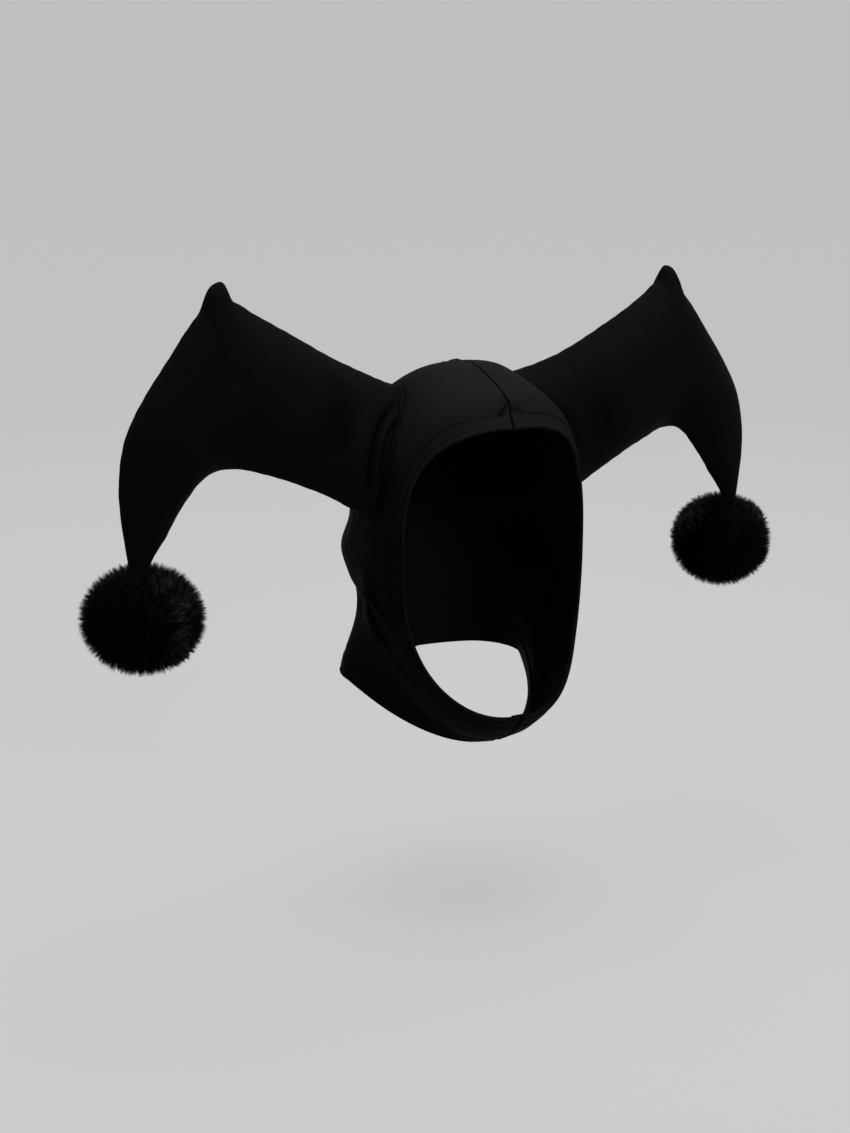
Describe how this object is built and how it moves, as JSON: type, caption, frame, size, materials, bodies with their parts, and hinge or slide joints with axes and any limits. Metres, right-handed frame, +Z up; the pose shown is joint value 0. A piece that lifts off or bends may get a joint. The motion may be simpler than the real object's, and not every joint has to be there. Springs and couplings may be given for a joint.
{
  "type": "jester hat",
  "caption": "Close-fitting stretch-knit jester hood that covers head, ears and neck, with stuffed horns that arch down at the sides and end in fur pompoms.",
  "frame": {"origin": "inside of the crown, where the hood sits on the top of the head", "axes": "+Z up, the face opening looks along -Y, the wearer's left is +X"},
  "size_m": [0.5488, 0.1676, 0.3185],
  "materials": {
    "knit": "smooth matte black stretch jersey",
    "fur": "dense deep black fur with a soft shine"
  },
  "bodies": {
    "root": {"hood_left": "knit", "hood_right": "knit", "horn_left": "knit", "horn_right": "knit", "pompom_left": "fur", "pompom_right": "fur"}
  },
  "joints": []
}
